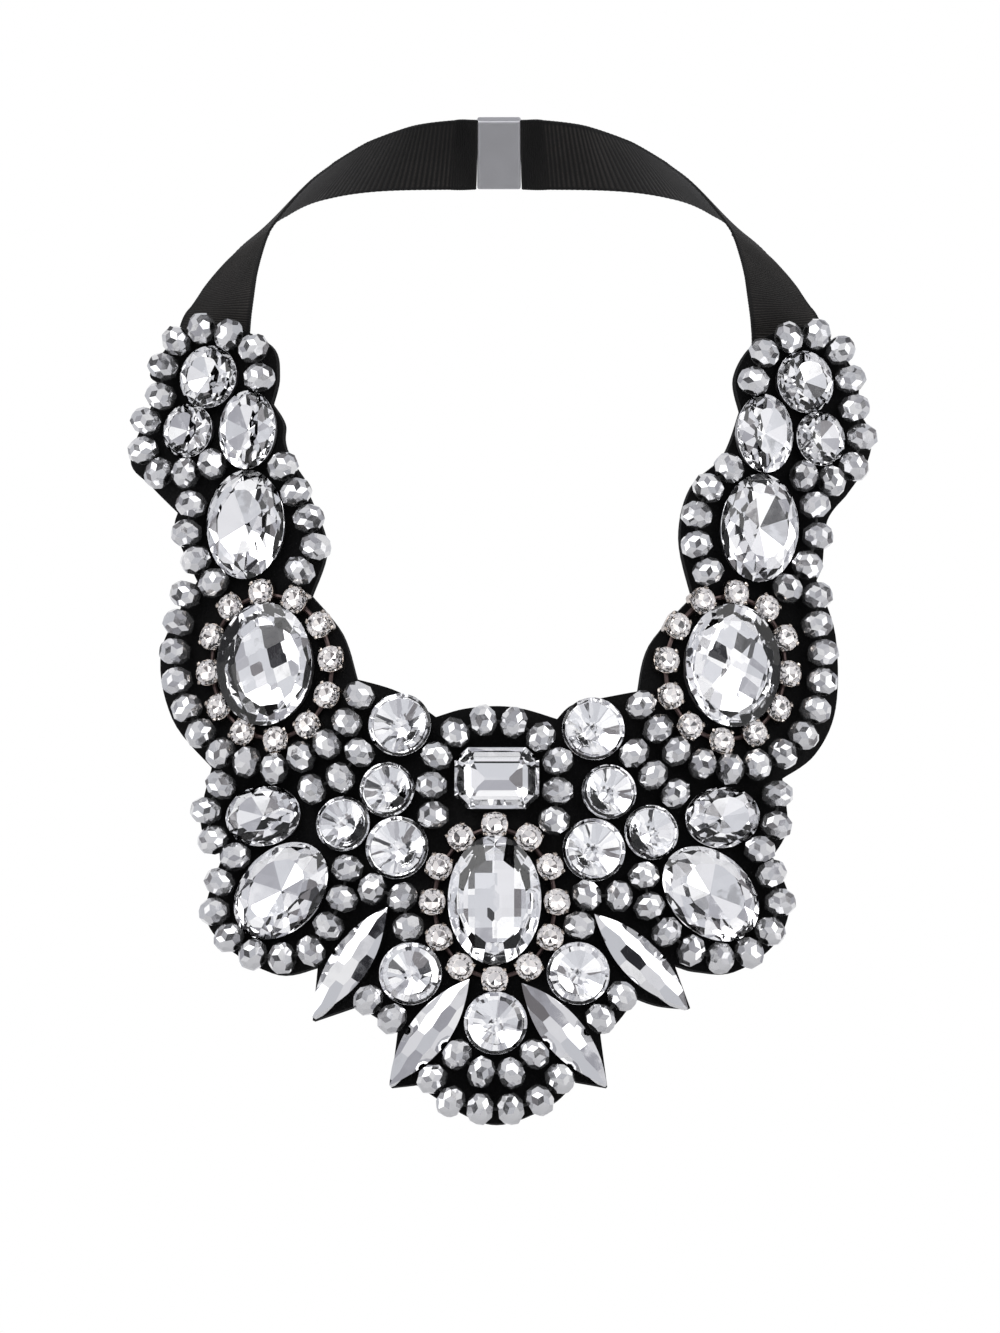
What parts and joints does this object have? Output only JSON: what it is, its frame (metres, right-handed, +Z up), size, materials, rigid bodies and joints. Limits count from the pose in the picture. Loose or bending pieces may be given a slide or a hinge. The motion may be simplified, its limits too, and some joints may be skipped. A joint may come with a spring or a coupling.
{
  "type": "bib necklace",
  "caption": "Scalloped bib necklace: cut stones, rhinestone rings and strings of faceted beads on a curved felt backing, held round the neck by two ribbons.",
  "frame": {"origin": "centre of the clasp's inner face at the nape of the neck", "axes": "+Z up as worn, the bib's front faces -Y, +X to the right as seen from the front"},
  "size_m": [0.1698, 0.135, 0.2292],
  "materials": {
    "felt": "matte wool felt",
    "ribbon": "ribbed grosgrain",
    "clasp": "satin",
    "crystal": "polished, foil backed",
    "rhinestone": "polished, foil backed, in metal cups",
    "bead": "faceted, half metal coated",
    "navette": "faceted, metal coated"
  },
  "bodies": {
    "root": {"felt_backing": "felt", "ribbon_left": "ribbon", "ribbon_right": "ribbon", "neck_clasp": "clasp", "left_top_round": "crystal", "left_side_round": "crystal", "left_neck_oval": "crystal", "left_shoulder_oval": "crystal", "left_large_oval": "crystal", "left_upper_round": "crystal", "left_middle_round": "crystal", "left_outer_round": "crystal", "left_lower_round": "crystal", "left_lying_oval": "crystal", "left_slanted_oval": "crystal", "left_base_round": "crystal", "left_outer_navette": "navette", "left_inner_navette": "navette", "right_top_round": "crystal", "right_side_round": "crystal", "right_neck_oval": "crystal", "right_shoulder_oval": "crystal", "right_large_oval": "crystal", "right_upper_round": "crystal", "right_middle_round": "crystal", "right_outer_round": "crystal", "right_lower_round": "crystal", "right_lying_oval": "crystal", "right_slanted_oval": "crystal", "right_base_round": "crystal", "right_outer_navette": "navette", "right_inner_navette": "navette", "center_octagon": "crystal", "center_large_oval": "crystal", "center_base_round": "crystal", "left_rhinestone_ring": "rhinestone", "right_rhinestone_ring": "rhinestone", "center_rhinestone_ring": "rhinestone", "left_arm_beads": "bead", "left_shoulder_beads": "bead", "left_outer_beads": "bead", "left_neckline_beads": "bead", "left_short_beads": "bead", "left_lower_beads": "bead", "left_corner_beads": "bead", "left_petal_beads": "bead", "right_arm_beads": "bead", "right_shoulder_beads": "bead", "right_outer_beads": "bead", "right_neckline_beads": "bead", "right_short_beads": "bead", "right_lower_beads": "bead", "right_corner_beads": "bead", "right_petal_beads": "bead", "center_arch_beads": "bead", "center_inner_beads": "bead", "center_outer_beads": "bead"}
  },
  "joints": []
}
